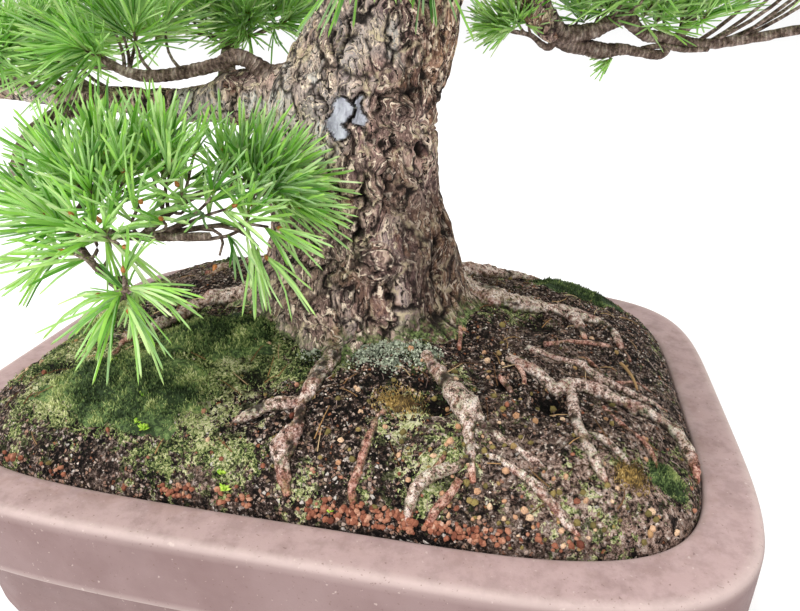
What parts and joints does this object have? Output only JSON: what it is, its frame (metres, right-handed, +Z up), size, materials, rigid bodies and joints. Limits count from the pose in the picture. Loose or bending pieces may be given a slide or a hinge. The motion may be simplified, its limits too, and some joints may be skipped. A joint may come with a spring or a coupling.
{
  "type": "japanese white pine bonsai",
  "caption": "Potted pine bonsai: flaky trunk on spreading surface roots, mossy soil mound, layered needle pads, wide-rimmed rectangular stoneware pot.",
  "frame": {"origin": "on the table under the middle of the pot, which is also under the middle of the whole tree", "axes": "+Z up, X along the pot's long side, the usual viewing side at -Y"},
  "size_m": [0.64, 0.4, 0.72],
  "materials": {
    "stoneware": "matte",
    "soil_mix": "matte",
    "grit": "matte",
    "bark": "matte",
    "needles": "satin",
    "moss": "matte",
    "golden_moss": "matte",
    "screen_mesh": "matte",
    "bonsai_wire": "satin"
  },
  "bodies": {
    "root": {"pot": "stoneware", "drain_screen_left": "screen_mesh", "drain_screen_right": "screen_mesh", "screen_wire_left": "bonsai_wire", "screen_wire_right": "bonsai_wire", "drainage_layer": "grit", "soil": "soil_mix", "trunk": "bark", "branch_left": "bark", "branch_foreground": "bark", "branch_right": "bark", "branch_front_low": "bark", "branch_back_low": "bark", "branch_left_mid": "bark", "branch_right_mid": "bark", "branch_right_front": "bark", "branch_back_left": "bark", "branch_front_mid": "bark", "branch_left_high": "bark", "branch_back_mid": "bark", "branch_front_high": "bark", "branch_right_high": "bark", "branch_left_top": "bark", "branch_back_high": "bark", "moss_deep_green": "moss", "moss_front_left": "moss", "moss_left_side": "moss", "moss_golden_centre": "golden_moss", "moss_bright_tuft": "moss", "moss_golden_right": "golden_moss", "moss_back_left": "moss", "moss_back_right": "moss", "foliage_left_low": "needles", "foliage_left_inner": "needles", "foliage_left_back": "needles", "foliage_foreground": "needles", "foliage_right_inner": "needles", "foliage_right_low": "needles", "foliage_front_low": "needles", "foliage_back_low": "needles", "foliage_left_mid": "needles", "foliage_right_mid": "needles", "foliage_right_front": "needles", "foliage_back_left": "needles", "foliage_front_mid": "needles", "foliage_left_high": "needles", "foliage_back_mid": "needles", "foliage_front_high": "needles", "foliage_right_high": "needles", "foliage_left_top": "needles", "foliage_back_high": "needles", "foliage_apex": "needles"}
  },
  "joints": []
}
